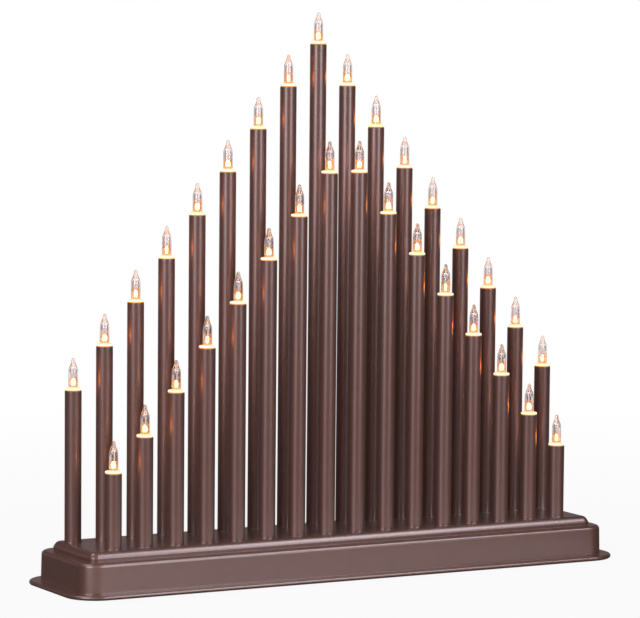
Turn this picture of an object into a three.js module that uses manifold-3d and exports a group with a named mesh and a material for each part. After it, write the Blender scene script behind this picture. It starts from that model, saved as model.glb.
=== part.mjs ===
// Advent candlestick: a long stepped base that carries two rows of candle tubes. The tubes
// rise in steps to the middle, and each one holds a lamp holder with a pointed bulb that
// pulls out. Millimetres, +Z up. The origin is on the table under the middle of the base,
// X runs along the rows and -Y is the front.

import * as THREE from 'three';
import { mergeVertices } from 'three/addons/utils/BufferGeometryUtils.js';
import Module from 'manifold-3d';

const wasm = await Module();
wasm.setup();

// Candle rows
const PITCH = 26.4; // centre to centre of neighbouring tubes
const ROW_SPACING = 44.5; // between the two rows
const BACK_COUNT = 17;
const FRONT_COUNT = 16; // stands half a pitch off the back row
const BANK_COUNT = 4; // tubes that share one rail under the deck

// Candle tubes
const TUBE_RADIUS = 6.5;
const TUBE_WALL = 1;
const CENTRE_HEIGHT = 381; // middle back tube, above the deck
const TUBE_STEP = 33; // each tube ends this much below its inner neighbour
const FRONT_DROP = 99; // the front pair, below the middle back tube
const SHORTEST_TUBE = 57.5; // the outer front tubes
const RAIL_THICK = 3.7;
const RAIL_EDGE = 1.5; // rail beyond the tube's side

// Base
const DECK_END = 0.8; // flat deck past the end tubes, before the rounded edge
const DECK_SIDE = 3.25; // flat deck beside the rows, before the rounded edge
const DECK_FILLET = 5;
const STEP_IN = 9.5; // the deck's edge, in from the wall
const STEP_HEIGHT = 7.2;
const SHELF_FILLET = 3.5;
const WALL_HEIGHT = 22.9; // from the flange to the shelf
const WALL_DRAFT = 0.5; // the wall leans in by this much
const CORNER_RADIUS = 16.5; // of the wall, seen from above
const FLANGE_OUT = 9;
const FLANGE_THICK = 3.4;
const SHELL = 2; // wall and deck thickness

// Underside
const FOOT_HEIGHT = 1.5; // the flange stands this far off the table
const FOOT_RADIUS = 6;
const FOOT_STEM_RADIUS = 2;
const FOOT_BARB = 1; // the barb beyond the stem, and its thickness
const FOOT_END = 18; // foot centre, in from the wall
const FOOT_SIDE = 18.5;
const PLATE_THICK = 2;
const SCREW_RADIUS = 1.45;
const SCREW_HEAD_RADIUS = 3;
const SCREW_FACE_RADIUS = 2.1; // flat of the head
const SCREW_HEAD_HEIGHT = 0.9;
const SCREW_GRIP = 8; // thread in the boss
const BOSS_WALL = 2;
const BOSS_END = 33; // outer bosses, in from the wall
const BOSS_SIDE = 7;

// Lamps
const COLLAR_HEIGHT = 2.7;
const COLLAR_OVER = 0.2; // collar beyond the tube's side
const COLLAR_SLOPE = 1.4; // the collar's top edge draws in by this much
const HOLDER_DEPTH = 16; // below the tube's rim
const PLUG_RADIUS = 2.4;
const PLUG_LENGTH = 10;
const BULB_RADIUS = 3.65; // glass where it leaves the collar
const SHOULDER_RADIUS = 3.4;
const SHOULDER_HEIGHT = 14.8;
const NOSE_RADIUS = 1.6; // where the drawn nose is narrowest
const NOSE_HEIGHT = 19.4;
const BULB_HEIGHT = 22.5;
const TIP_RADIUS = 1.3;

// Wiring
const LEAD_WIDTH = 2.4; // two cores side by side
const LEAD_THICK = 1.2;
const LEAD_HEIGHT = 10; // of the run along the row, above the table
const CABLE_X = 60; // where the mains lead enters the back wall
const CABLE_Z = 13;
const CABLE_BORE = 3.6;
const BUSHING_WALL = 1.1;
const BUSHING_LIP = 1.5;
const BUSHING_OUTER = 1.8; // thickness of the lip outside the wall
const BUSHING_INNER = 1.2;
const TERMINAL_LENGTH = 26;
const TERMINAL_WIDTH = 15;
const TERMINAL_HEIGHT = 12;
const TERMINAL_SCREW = 2.6;

const GAP = 0.3; // between pieces that touch
const TUBE_SIDES = 16;
const SMALL_SIDES = 10; // holes, bulbs, holders, feet and screws
const CORNER_STEPS = 5;
const FILLET_STEPS = 3;
const RIM_STEPS = 4;

// Places worked out from the sizes
const rowY = ROW_SPACING / 2;
const backHalf = (BACK_COUNT - 1) * PITCH / 2;
const deckHalfX = backHalf + TUBE_RADIUS + DECK_END + DECK_FILLET;
const deckHalfY = rowY + TUBE_RADIUS + DECK_SIDE + DECK_FILLET;
const wallHalfX = deckHalfX + STEP_IN;
const wallHalfY = deckHalfY + STEP_IN;
const flangeTop = FOOT_HEIGHT + FLANGE_THICK;
const shelfZ = flangeTop + WALL_HEIGHT;
const deckZ = shelfZ + STEP_HEIGHT;
const plateBottom = FOOT_HEIGHT + GAP / 3;
const plateTop = plateBottom + PLATE_THICK;
const railTop = deckZ - SHELL - GAP;
const tubeBore = TUBE_RADIUS - TUBE_WALL;
const bossRadius = SCREW_RADIUS + GAP + BOSS_WALL;

const material = (color, roughness, metalness) =>
  new THREE.MeshStandardMaterial({ color, roughness, metalness });
const lacquer = () => material(0x6b514c, 0.38, 0.55);
const darkPlastic = () => material(0x232120, 0.6, 0);
const rubber = () => material(0x1b1a1a, 0.85, 0);
const screwSteel = () => material(0x9a9a98, 0.35, 0.9);
const creamPlastic = () => material(0xf4dfb4, 0.45, 0);
const clearGlass = () => material(0xf2ead8, 0.08, 0);

// A closed mesh becomes a solid that can be joined and cut
function solid(geometry) {
  const bare = geometry.clone();
  bare.deleteAttribute('normal');
  bare.deleteAttribute('uv');
  const merged = mergeVertices(bare, 1e-4);
  const corners = merged.index.array;
  const kept = [];
  for (let i = 0; i < corners.length; i += 3) {
    const [a, b, c] = [corners[i], corners[i + 1], corners[i + 2]];
    if (a !== b && b !== c && c !== a) kept.push(a, b, c);
  }
  return new wasm.Manifold(new wasm.Mesh({
    numProp: 3,
    vertProperties: new Float32Array(merged.attributes.position.array),
    triVerts: new Uint32Array(kept),
  }));
}

function skin(body) {
  const { vertProperties, triVerts } = body.getMesh();
  const geometry = new THREE.BufferGeometry();
  geometry.setAttribute('position', new THREE.BufferAttribute(vertProperties, 3));
  geometry.setIndex(new THREE.BufferAttribute(triVerts, 1));
  geometry.computeVertexNormals();
  return geometry;
}

const join = (bodies) => bodies.reduce((whole, body) => whole.add(body));
const cut = (body, tools) => tools.reduce((left, tool) => left.subtract(tool), body);

// The radius of a small-sided hole that a round piece of this radius passes
const around = (radius) => radius / Math.cos(Math.PI / SMALL_SIDES);

// A profile of radius and height, turned about the Z axis
function turned(profile, sides) {
  const points = profile.map(([radius, z]) => new THREE.Vector2(radius, z));
  return new THREE.LatheGeometry(points, sides).rotateX(Math.PI / 2);
}

function post(radius, x, y, bottom, top, sides) {
  const geometry = new THREE.CylinderGeometry(radius, radius, top - bottom, sides);
  return geometry.rotateX(Math.PI / 2).translate(x, y, (bottom + top) / 2);
}

function block([x0, x1], [y0, y1], [z0, z1]) {
  const geometry = new THREE.BoxGeometry(x1 - x0, y1 - y0, z1 - z0);
  return geometry.translate((x0 + x1) / 2, (y0 + y1) / 2, (z0 + z1) / 2);
}

// The wall's outline seen from above, moved outwards by a distance
function outline(out) {
  const radius = CORNER_RADIUS + out;
  const x = wallHalfX + out - radius;
  const y = wallHalfY + out - radius;
  const signs = [[1, 1], [-1, 1], [-1, -1], [1, -1]];
  return signs.flatMap(([sx, sy], corner) =>
    Array.from({ length: CORNER_STEPS + 1 }, (_, step) => {
      const angle = (corner + step / CORNER_STEPS) * Math.PI / 2;
      return new THREE.Vector2(sx * x + radius * Math.cos(angle), sy * y + radius * Math.sin(angle));
    }));
}

// Outlines of growing height, each [out, z], stacked into one closed skin
function stacked(levels) {
  const rings = levels.map(([out, z]) => outline(out).map((p) => [p.x, p.y, z]));
  const count = rings[0].length;
  const faces = [];
  for (let level = 0; level + 1 < rings.length; level += 1) {
    for (let i = 0; i < count; i += 1) {
      const a = level * count + i;
      const b = level * count + (i + 1) % count;
      faces.push(a, b, b + count, a, b + count, a + count);
    }
  }
  const last = (rings.length - 1) * count;
  for (let i = 1; i + 1 < count; i += 1) {
    faces.push(0, i + 1, i);
    faces.push(last, last + i, last + i + 1);
  }
  const geometry = new THREE.BufferGeometry();
  geometry.setAttribute('position', new THREE.Float32BufferAttribute(rings.flat(2), 3));
  geometry.setIndex(faces);
  return geometry;
}

// The levels of a quarter round, from upright to flat, whose corner is at [out, top]
function rounded(out, top, radius) {
  return Array.from({ length: FILLET_STEPS + 1 }, (_, step) => {
    const angle = step / FILLET_STEPS * Math.PI / 2;
    return [out - radius * (1 - Math.cos(angle)), top - radius * (1 - Math.sin(angle))];
  });
}

// The levels of the flange's rim, a half round
function rim() {
  const radius = FLANGE_THICK / 2;
  return Array.from({ length: RIM_STEPS + 1 }, (_, step) => {
    const angle = (step / RIM_STEPS - 0.5) * Math.PI;
    return [
      FLANGE_OUT - radius * (1 - Math.cos(angle)),
      FOOT_HEIGHT + radius * (1 + Math.sin(angle)),
    ];
  });
}

const backTops = Array.from({ length: BACK_COUNT }, (_, i) =>
  Math.max(CENTRE_HEIGHT - TUBE_STEP * Math.abs(i - (BACK_COUNT - 1) / 2), SHORTEST_TUBE));
const frontTops = Array.from({ length: FRONT_COUNT }, (_, i) => {
  const fromPair = Math.abs(i - (FRONT_COUNT - 1) / 2) - 0.5;
  return Math.max(CENTRE_HEIGHT - FRONT_DROP - TUBE_STEP * fromPair, SHORTEST_TUBE);
});
const candleRow = (tops, y) =>
  tops.map((height, i) => ({ x: (i - (tops.length - 1) / 2) * PITCH, y, top: deckZ + height }));
const rows = {
  back: candleRow(backTops, rowY),
  front: candleRow(frontTops, -rowY),
};
const candles = [...rows.back, ...rows.front];

const bossX = wallHalfX - BOSS_END;
const bossY = wallHalfY - BOSS_SIDE;
const bossPlaces = [-bossX, 0, bossX].flatMap((x) => [[x, -bossY], [x, bossY]]);
const footX = wallHalfX - FOOT_END;
const footY = wallHalfY - FOOT_SIDE;
const footPlaces = [[-footX, -footY], [footX, -footY], [-footX, footY], [footX, footY]];

// Base housing: a stepped shell, open below, with a hole for each tube
function baseHousing() {
  const outer = solid(stacked([
    ...rim(),
    [0, flangeTop],
    ...rounded(-WALL_DRAFT, shelfZ, SHELF_FILLET),
    [-STEP_IN, shelfZ],
    ...rounded(-STEP_IN, deckZ, DECK_FILLET),
  ]));
  const hollow = solid(stacked([
    [-SHELL, -SHELL],
    [-SHELL, flangeTop],
    [-SHELL - WALL_DRAFT, shelfZ - SHELL],
    [-STEP_IN - SHELL, shelfZ - SHELL],
    ...rounded(-STEP_IN - SHELL, deckZ - SHELL, DECK_FILLET - SHELL),
  ]));
  const holes = candles.map(({ x, y }) =>
    solid(post(around(TUBE_RADIUS + GAP), x, y, railTop - GAP, deckZ + GAP, SMALL_SIDES)));
  const shelfUnderside = shelfZ - SHELL / 2;
  const bosses = bossPlaces.map(([x, y]) =>
    solid(post(bossRadius, x, y, plateTop + GAP, shelfUnderside, SMALL_SIDES)));
  const pilots = bossPlaces.map(([x, y]) =>
    solid(post(SCREW_RADIUS + GAP, x, y, 0, plateTop + SCREW_GRIP + GAP, SMALL_SIDES)));
  const cableHole = new THREE.CylinderGeometry(
    CABLE_BORE + BUSHING_WALL + GAP, CABLE_BORE + BUSHING_WALL + GAP, 4 * SHELL, TUBE_SIDES);
  cableHole.translate(CABLE_X, wallHalfY - SHELL, CABLE_Z);
  return cut(join([cut(outer, [hollow]), ...bosses]), [...holes, ...pilots, solid(cableHole)]);
}

// One rail under the deck with its tubes, open from end to end for the leads
function tubeBank(bank) {
  const half = TUBE_RADIUS + RAIL_EDGE;
  const railBottom = railTop - RAIL_THICK;
  const y = bank[0].y;
  const rail = solid(block(
    [bank[0].x - half, bank[bank.length - 1].x + half], [y - half, y + half], [railBottom, railTop]));
  const tubes = bank.map(({ x, top }) => solid(post(TUBE_RADIUS, x, y, railBottom, top, TUBE_SIDES)));
  const bores = bank.map(({ x, top }) =>
    solid(post(around(tubeBore), x, y, railBottom - GAP, top + GAP, SMALL_SIDES)));
  return cut(join([rail, ...tubes]), bores);
}

// The banks of a row: full ones from both ends, and what is left over in the middle
function banksOf(row) {
  const perSide = Math.floor(row.length / 2 / BANK_COUNT) * BANK_COUNT;
  const banks = [];
  for (let i = 0; i < perSide; i += BANK_COUNT) banks.push(row.slice(i, i + BANK_COUNT));
  const middle = row.slice(perSide, row.length - perSide);
  if (middle.length > 0) banks.push(middle);
  for (let i = row.length - perSide; i < row.length; i += BANK_COUNT) {
    banks.push(row.slice(i, i + BANK_COUNT));
  }
  return banks;
}

// A lamp holder in a tube's mouth, with a socket for the bulb's plug
function lampHolder({ x, y, top }) {
  const socket = PLUG_RADIUS + GAP;
  const collar = TUBE_RADIUS + COLLAR_OVER;
  const body = tubeBore - GAP;
  const rimZ = top + GAP;
  const mouth = top + COLLAR_HEIGHT;
  return solid(turned([
    [0, top - HOLDER_DEPTH],
    [body, top - HOLDER_DEPTH],
    [body, rimZ],
    [collar, rimZ],
    [collar, rimZ + (mouth - rimZ) / 2],
    [collar - COLLAR_SLOPE, mouth],
    [socket, mouth],
    [socket, mouth - PLUG_LENGTH - GAP],
    [0, mouth - PLUG_LENGTH - GAP],
  ], SMALL_SIDES).translate(x, y, 0));
}

// The lamp holders of a row on their leads, and the branch to the terminal block
function lampString(row) {
  const { y } = row[0];
  const side = Math.sign(y);
  const core = [-LEAD_WIDTH / 2, LEAD_WIDTH / 2];
  const run = [LEAD_HEIGHT, LEAD_HEIGHT + LEAD_THICK];
  const across = (at) => [at - LEAD_THICK / 2, at + LEAD_THICK / 2];
  const drops = row.map(({ x, top }) =>
    solid(block(core.map((c) => x + c), across(y), [LEAD_HEIGHT, top - HOLDER_DEPTH + GAP])));
  const ends = [row[0].x, row[row.length - 1].x];
  const along = solid(block([ends[0] + core[0], ends[1] + core[1]], across(y), run));
  const reach = [side * (TERMINAL_WIDTH / 2 + GAP), y].sort((a, b) => a - b);
  const branch = solid(block(across(CABLE_X), reach, run));
  return join([along, branch, ...drops, ...row.map(lampHolder)]);
}

// A bulb: the plug below, the glass with its shoulder and drawn nose above
function bulb({ x, y, top }) {
  const mouth = top + COLLAR_HEIGHT;
  const seat = mouth + GAP;
  return turned([
    [0, mouth - PLUG_LENGTH],
    [PLUG_RADIUS, mouth - PLUG_LENGTH],
    [PLUG_RADIUS, seat],
    [BULB_RADIUS, seat],
    [SHOULDER_RADIUS, mouth + SHOULDER_HEIGHT],
    [NOSE_RADIUS, mouth + NOSE_HEIGHT],
    [TIP_RADIUS, mouth + BULB_HEIGHT - TIP_RADIUS / 2],
    [0, mouth + BULB_HEIGHT],
  ], SMALL_SIDES).translate(x, y, 0);
}

function bottomPlate() {
  const shape = new THREE.Shape(outline(-SHELL - GAP));
  const hole = (x, y, radius) => new THREE.Path().absarc(x, y, around(radius), 0, 2 * Math.PI, true);
  const holes = [
    ...bossPlaces.map(([x, y]) => hole(x, y, SCREW_RADIUS + GAP)),
    ...footPlaces.map(([x, y]) => hole(x, y, FOOT_STEM_RADIUS + GAP)),
  ];
  shape.holes.push(...holes);
  const flat = { depth: PLATE_THICK, bevelEnabled: false, curveSegments: SMALL_SIDES / 2 };
  return new THREE.ExtrudeGeometry(shape, flat).translate(0, 0, plateBottom);
}

function coverScrew([x, y]) {
  const headTop = plateBottom - GAP;
  const tip = plateTop + SCREW_GRIP;
  return turned([
    [0, headTop - SCREW_HEAD_HEIGHT],
    [SCREW_FACE_RADIUS, headTop - SCREW_HEAD_HEIGHT],
    [SCREW_HEAD_RADIUS, headTop],
    [SCREW_RADIUS, headTop],
    [SCREW_RADIUS, tip - SCREW_RADIUS],
    [0, tip],
  ], SMALL_SIDES).translate(x, y, 0);
}

// A rubber foot: a pad, a stem through the plate and a barb above it
function rubberFoot([x, y]) {
  const padTop = plateBottom - GAP;
  const barbBottom = plateTop + GAP;
  return turned([
    [0, 0],
    [FOOT_RADIUS - GAP, 0],
    [FOOT_RADIUS, padTop],
    [FOOT_STEM_RADIUS, padTop],
    [FOOT_STEM_RADIUS, barbBottom],
    [FOOT_STEM_RADIUS + FOOT_BARB, barbBottom],
    [FOOT_STEM_RADIUS, barbBottom + FOOT_BARB],
    [0, barbBottom + FOOT_BARB],
  ], SMALL_SIDES).translate(x, y, 0);
}

// The bushing that lines the cable hole, with a lip on each side of the wall
function cableBushing() {
  const outside = wallHalfY + GAP;
  const inside = wallHalfY - SHELL - WALL_DRAFT - GAP;
  const sleeve = CABLE_BORE + BUSHING_WALL;
  const lip = sleeve + BUSHING_LIP;
  const profile = [
    [CABLE_BORE, inside - BUSHING_INNER],
    [lip, inside - BUSHING_INNER],
    [lip, inside],
    [sleeve, inside],
    [sleeve, outside],
    [lip, outside],
    [lip, outside + BUSHING_OUTER],
    [CABLE_BORE, outside + BUSHING_OUTER],
  ];
  const upright = turned([...profile, profile[0]], TUBE_SIDES);
  return upright.rotateX(-Math.PI / 2).translate(CABLE_X, 0, CABLE_Z);
}

// The terminal block on the bottom plate, with a screw on each pole
function terminalBlock() {
  const bottom = plateTop + GAP;
  const top = bottom + TERMINAL_HEIGHT;
  const half = TERMINAL_LENGTH / 2;
  const housing = solid(block(
    [CABLE_X - half, CABLE_X + half], [-TERMINAL_WIDTH / 2, TERMINAL_WIDTH / 2], [bottom, top]));
  const wellBottom = (bottom + top) / 2;
  const wells = [-half / 2, half / 2].map((dx) =>
    solid(post(TERMINAL_SCREW, CABLE_X + dx, 0, wellBottom, top + GAP, SMALL_SIDES)));
  return cut(housing, wells);
}

const candlestick = new THREE.Group();
const piece = (name, geometry, finish) => {
  const mesh = new THREE.Mesh(geometry, finish);
  mesh.name = name;
  candlestick.add(mesh);
};
const twoDigits = (i) => String(i + 1).padStart(2, '0');

piece('base_housing', skin(baseHousing()), lacquer());
piece('bottom_plate', bottomPlate(), darkPlastic());
piece('terminal_block', skin(terminalBlock()), creamPlastic());
piece('cable_bushing', cableBushing(), darkPlastic());
footPlaces.forEach((place, i) => piece(`rubber_foot_${i + 1}`, rubberFoot(place), rubber()));
bossPlaces.forEach((place, i) => piece(`cover_screw_${i + 1}`, coverScrew(place), screwSteel()));
Object.entries(rows).forEach(([side, row]) => {
  banksOf(row).forEach((bank, i) => piece(`tube_bank_${side}_${i + 1}`, skin(tubeBank(bank)), lacquer()));
  piece(`lamp_string_${side}`, skin(lampString(row)), creamPlastic());
  row.forEach((candle, i) => piece(`bulb_${side}_${twoDigits(i)}`, bulb(candle), clearGlass()));
});

export default candlestick;
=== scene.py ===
# %% [markdown]
# # An advent candlestick, dressed for the camera
#
# The object is an electric candlestick: a long stepped base in brown lacquer that carries two
# rows of slim candle tubes, each with a small pointed bulb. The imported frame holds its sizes
# and its places. This script makes what one sees of it: smooth rims, hollow glass, glowing
# filaments and the satin of the lacquer.
#
# Everything is in metres. The origin is on the table under the middle of the base, X runs along
# the rows, -Y is the front and Z is up.

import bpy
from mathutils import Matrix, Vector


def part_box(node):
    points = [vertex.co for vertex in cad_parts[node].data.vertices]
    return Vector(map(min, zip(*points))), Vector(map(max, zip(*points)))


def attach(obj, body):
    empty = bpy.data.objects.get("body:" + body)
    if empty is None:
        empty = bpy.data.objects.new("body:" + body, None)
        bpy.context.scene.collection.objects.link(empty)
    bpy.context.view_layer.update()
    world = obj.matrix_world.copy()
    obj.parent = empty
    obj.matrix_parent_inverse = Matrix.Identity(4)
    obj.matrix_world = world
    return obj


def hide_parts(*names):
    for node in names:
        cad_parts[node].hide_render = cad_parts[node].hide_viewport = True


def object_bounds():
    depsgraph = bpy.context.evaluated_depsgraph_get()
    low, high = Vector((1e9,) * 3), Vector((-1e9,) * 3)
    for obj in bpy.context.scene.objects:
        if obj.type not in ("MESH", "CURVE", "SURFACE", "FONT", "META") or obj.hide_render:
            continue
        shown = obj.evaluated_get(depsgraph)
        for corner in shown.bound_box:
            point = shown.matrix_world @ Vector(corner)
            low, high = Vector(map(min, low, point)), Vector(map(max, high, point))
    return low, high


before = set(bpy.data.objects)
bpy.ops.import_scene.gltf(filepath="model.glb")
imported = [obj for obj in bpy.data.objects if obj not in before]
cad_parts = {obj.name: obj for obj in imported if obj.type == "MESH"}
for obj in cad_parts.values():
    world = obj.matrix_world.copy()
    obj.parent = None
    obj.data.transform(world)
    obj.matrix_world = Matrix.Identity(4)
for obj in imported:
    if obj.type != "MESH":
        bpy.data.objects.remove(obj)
cad_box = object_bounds()
print("nodes", len(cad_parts), "box", [round(x, 4) for corner in cad_box for x in corner])

# %% Tools for the rest of the lesson
from math import cos, pi, radians, sin

import bmesh
import bpy
from mathutils import Matrix, Vector

MM = 0.001
scene = bpy.context.scene


def put_in_scene(made):
    """Links an object to the scene and hands it back."""
    scene.collection.objects.link(made)
    return made


def mesh_of(bm, name="shape"):
    """Turns a shape into a mesh. The shape is used up."""
    mesh = bpy.data.meshes.new(name)
    bm.to_mesh(mesh)
    bm.free()
    return mesh


def object_from(name, bm, finish):
    """Makes an object of a shape and a finish."""
    mesh = mesh_of(bm, name)
    mesh.materials.append(finish)
    return put_in_scene(bpy.data.objects.new(name, mesh))


def add_shape(bm, other):
    """Adds a shape to another one and uses it up."""
    mesh = mesh_of(other)
    bm.from_mesh(mesh)
    bpy.data.meshes.remove(mesh)


def shifted(bm, x, y, z, turn=0.0):
    """Turns a shape about its own axis and puts it at another place."""
    bmesh.ops.rotate(bm, cent=(0, 0, 0), matrix=Matrix.Rotation(turn, 3, "Z"), verts=bm.verts)
    bmesh.ops.translate(bm, vec=(x, y, z), verts=bm.verts)
    return bm


def sheet(left, right, near, far, height):
    """A flat rectangle."""
    bm = bmesh.new()
    bmesh.ops.create_grid(bm, x_segments=1, y_segments=1, size=0.5)
    bmesh.ops.scale(bm, vec=(right - left, far - near, 1), verts=bm.verts)
    return shifted(bm, (left + right) / 2, (near + far) / 2, height)


print("in millimetres the box is", [round(x / MM, 1) for corner in cad_box for x in corner])

# %% [markdown]
# ## The camera
#
# The photograph was taken from the left of the front, a little above the base, from so far away
# that the rows hardly converge. The camera's place and lens were found by fitting the feet and
# the tops of all the tubes. Blender turns a camera about its own axes: first the roll, then the
# tilt from looking straight down to nearly level, then the turn to the right.

# %% Camera
CAMERA_PLACE = (-1.4326, -2.6216, 0.4912)
CAMERA_TURN = 28.638  # to the right of the Y axis, in degrees
CAMERA_DIP = 5.561
CAMERA_ROLL = 0.514
SENSOR_WIDTH = 36.0  # in millimetres, as the lens
LENS = 214.6
SHIFT = (-0.0131, 0.0171)  # the picture was cropped a little off centre
FARTHEST = 100  # the camera sees this many metres of floor

lens = bpy.data.cameras.new("camera")
lens.sensor_width = SENSOR_WIDTH
lens.lens = LENS
lens.shift_x, lens.shift_y = SHIFT
lens.clip_end = FARTHEST
camera = put_in_scene(bpy.data.objects.new("camera", lens))
camera.matrix_world = (
    Matrix.Translation(CAMERA_PLACE)
    @ Matrix.Rotation(radians(-CAMERA_TURN), 4, "Z")
    @ Matrix.Rotation(radians(90 - CAMERA_DIP), 4, "X")
    @ Matrix.Rotation(radians(CAMERA_ROLL), 4, "Z")
)
scene.camera = camera
print("camera", CAMERA_PLACE, "lens", LENS)

# %% [markdown]
# ## A small language for shaders
#
# Every finish below is a tree of shader nodes. Written out node by node, such a tree is hard to
# read, so a socket is wrapped in a class that knows arithmetic: `1 - grain * 0.2` adds the two
# Math nodes that it takes. One method adds any other kind of node, with its settings first and
# then the values or links of its sockets.


# %% Sockets that can be reckoned with
class Value:
    """An output socket. Arithmetic on it adds Math nodes."""

    def __init__(self, graph, socket):
        self.graph = graph
        self.socket = socket

    def math(self, operation, first, second):
        return self.graph.node("Math", {"operation": operation}, {0: first, 1: second})

    def __add__(self, other):
        return self.math("ADD", self, other)

    def __sub__(self, other):
        return self.math("SUBTRACT", self, other)

    def __rsub__(self, other):
        return self.math("SUBTRACT", other, self)

    def __mul__(self, other):
        return self.math("MULTIPLY", self, other)

    __radd__ = __add__
    __rmul__ = __mul__

    def clamped(self):
        """The value, kept between 0 and 1."""
        return self.graph.node("Clamp", {}, {"Value": self})


class Graph:
    """The node tree of a material or of the world."""

    def __init__(self, owner):
        owner.use_nodes = True
        self.tree = owner.node_tree
        self.tree.nodes.clear()

    def node(self, kind, settings=None, inputs=None, output=0):
        """Adds a shader node. A colour is given as red, green and blue, in linear light."""
        made = self.tree.nodes.new("ShaderNode" + kind)
        for name, setting in (settings or {}).items():
            if name == "stops":
                self.fill_ramp(made.color_ramp.elements, setting)
            else:
                setattr(made, name, setting)
        for name, value in (inputs or {}).items():
            socket = made.inputs[name]
            if isinstance(value, Value):
                self.tree.links.new(value.socket, socket)
            else:
                socket.default_value = (*value, 1) if socket.type == "RGBA" else value
        return Value(self, made.outputs[output]) if made.outputs else made

    def fill_ramp(self, elements, stops):
        """A colour ramp starts with two stops, so the rest are added between them."""
        while len(elements) < len(stops):
            elements.new(0.5)
        for element, (position, colour) in zip(elements, stops):
            element.position = position
            element.color = (*colour, 1)

    def mix(self, factor, first, second):
        """Mixes two colours."""
        colours = {0: factor, 6: first, 7: second}
        return self.node("Mix", {"data_type": "RGBA"}, colours, output=2)

    def place(self):
        return self.node("TexCoord", output="Object")

    def noise(self, size, detail=2.0, upright=1.0):
        """A cloudy pattern whose lumps are about this many metres across, and so many times as high."""
        place = self.node("Mapping", {}, {"Vector": self.place(), "Scale": (1, 1, 1 / upright)})
        return self.node("TexNoise", {}, {"Vector": place, "Scale": 1 / size, "Detail": detail})

    def bump(self, height, depth, strength=1.0):
        inputs = {"Height": height, "Distance": depth, "Strength": strength}
        return self.node("Bump", {}, inputs, output="Normal")

    def surface(self, shader):
        self.node("OutputMaterial", {}, {"Surface": shader})

    def principled(self, **inputs):
        """The main shader. Its sockets are named in words joined by _."""
        named = {name.replace("_", " "): value for name, value in inputs.items()}
        return self.node("BsdfPrincipled", {}, named)


def new_finish(name):
    """A new material and the graph of its nodes."""
    material = bpy.data.materials.new(name)
    return material, Graph(material)


print("the shader language is ready")

# %% [markdown]
# ## The studio
#
# The picture shows the object alone on white. A white backdrop could be a strongly lit one, but
# its light would wash out the lacquer. So the floor and the world are white only to the camera,
# to mirrors and through glass. To all other rays the world is a dim grey and the floor a lit grey
# sheet. Near the object the camera sees a little of that sheet too, which keeps the soft shadow
# under the base. Further out the floor is plain white, so that no horizon shows.

# %% White floor and world
AMBIENT = 0.07  # the world's light on matt surfaces
FLOOR_GREY = 0.3  # the floor as a lit surface
FLOOR_EDGE = 20.0
WHITE = (1, 1, 1)
FLOOR_GLOW = 0.945  # share of plain white in what is seen of the floor beside the object
GLOW_START = 0.35  # distance from the middle at which that share begins to grow
GLOW_REACH = 0.8  # and over which it grows to all of it


def sees_background(graph):
    """1 for rays of the camera, of mirrors and through glass, and 0 for all others."""
    paths = ["Is Camera Ray", "Is Glossy Ray", "Is Transmission Ray"]
    camera_ray, glossy_ray, clear_ray = (graph.node("LightPath", output=name) for name in paths)
    return (camera_ray + glossy_ray + clear_ray).clamped()


world = bpy.data.worlds.new("white studio")
scene.world = world
sky = Graph(world)
sky_colour = sky.mix(sees_background(sky), (AMBIENT,) * 3, WHITE)
sky.node("OutputWorld", {}, {"Surface": sky.node("Background", {}, {"Color": sky_colour})})

paper, graph = new_finish("white paper")
lit = graph.node("BsdfDiffuse", {}, {"Color": (FLOOR_GREY,) * 3})
glow = graph.node("Emission", {}, {"Color": WHITE, "Strength": 1.0})
distance = graph.node("VectorMath", {"operation": "LENGTH"}, {0: graph.place()}, output="Value")
reach = ((distance - GLOW_START) * (1 / GLOW_REACH)).clamped()
share = sees_background(graph) * (FLOOR_GLOW + reach * (1 - FLOOR_GLOW))
graph.surface(graph.node("MixShader", {}, {0: share, 1: lit, 2: glow}))

object_from("floor", sheet(-FLOOR_EDGE, FLOOR_EDGE, -FLOOR_EDGE, FLOOR_EDGE, 0), paper)
scene.view_settings.view_transform = "Standard"
print("floor", 2 * FLOOR_EDGE, "m")

# %% [markdown]
# ## Lamps, a dark tent and cards
#
# Satin metal shows its surroundings. Each tube carries two thin upright lights, so two tall
# softboxes stand in front of it, one on each side of the camera. The camera looks down a little,
# so the upper part of a tube mirrors the softboxes and its foot the dark table. That is why the
# lights fade on their way down. Two smaller lamps higher up are mirrored by the rounded edges of
# the base. The right one is left out of matt light, or the deck would be too light. A lamp
# behind, which nothing mirrors, keeps the back from being black.
#
# Between the lights the metal is dark, as in a studio hung with black cloth. A dome and a cloth
# that show only in reflections do that. White paper shows only round the base, where its rim
# mirrors it. A low warm card behind gives the deck its sheen, and a bright one high up in front
# lights rounded corners and the shoulders of the bulbs. Two grey cards at the sides show only
# through glass, and draw its thick walls.

# %% Softboxes
FULL_POWER = 4.0  # an area lamp of 4 watts a square metre has a radiance of 1
DAYLIGHT = (1.0, 0.97, 1.04)  # a touch violet, as the pale lights on the lacquer are


def direction(azimuth, elevation):
    """Azimuth 0 is the front and 90 the right."""
    a, e = radians(azimuth), radians(elevation)
    return Vector((sin(a) * cos(e), -cos(a) * cos(e), sin(e)))


def softbox(name, azimuth, elevation, distance, width, height, radiance):
    """A rectangular lamp that faces the middle of the object. Its sizes are in metres."""
    lamp = bpy.data.lights.new(name, "AREA")
    lamp.shape = "RECTANGLE"
    lamp.size, lamp.size_y = width, height
    lamp.energy = FULL_POWER * width * height * radiance
    lamp.color = DAYLIGHT
    made = put_in_scene(bpy.data.objects.new(name, lamp))
    away = direction(azimuth, elevation)
    middle = Vector((0, 0, (cad_box[0].z + cad_box[1].z) / 2))
    turn = (-away).to_track_quat("-Z", "Y").to_matrix().to_4x4()
    made.matrix_world = Matrix.Translation(middle + away * distance) @ turn
    made.visible_camera = False
    return made


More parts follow.
